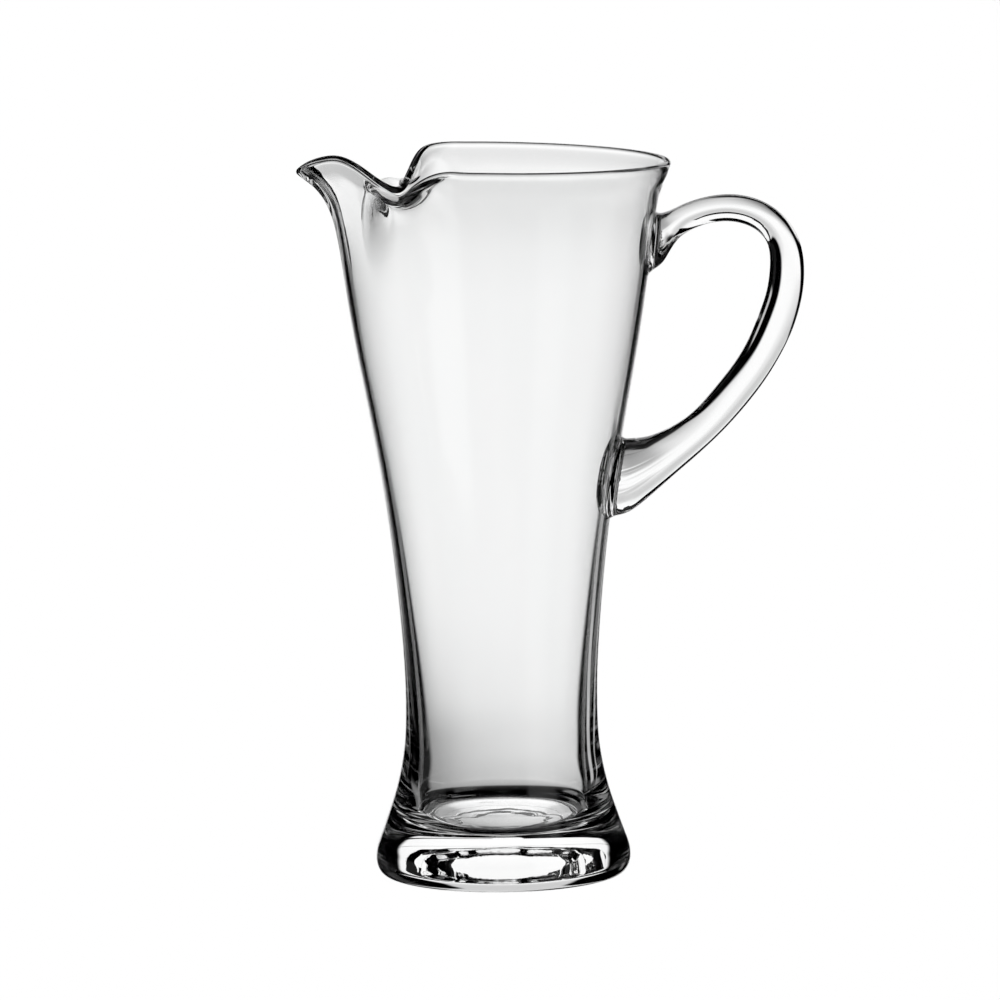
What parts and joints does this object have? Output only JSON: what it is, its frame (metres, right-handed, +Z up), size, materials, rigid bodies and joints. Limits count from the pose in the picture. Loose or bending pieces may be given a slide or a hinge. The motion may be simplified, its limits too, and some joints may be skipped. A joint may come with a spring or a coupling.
{
  "type": "glass pitcher",
  "caption": "Tall clear glass water pitcher with a flared wall, a thick solid foot, a folded ice lip with a pulled spout, and a fused loop handle.",
  "frame": {"origin": "centre of the flat underside, on the body's axis", "axes": "+Z up along the body's axis, -X towards the spout, +X towards the handle, +Y to the far side"},
  "size_m": [0.185, 0.1285, 0.2651],
  "materials": {
    "body_glass": "clear, fire-polished",
    "handle_glass": "clear, fire-polished, faintly drawn along its length"
  },
  "bodies": {
    "root": {"body": "body_glass", "handle": "handle_glass"}
  },
  "joints": []
}
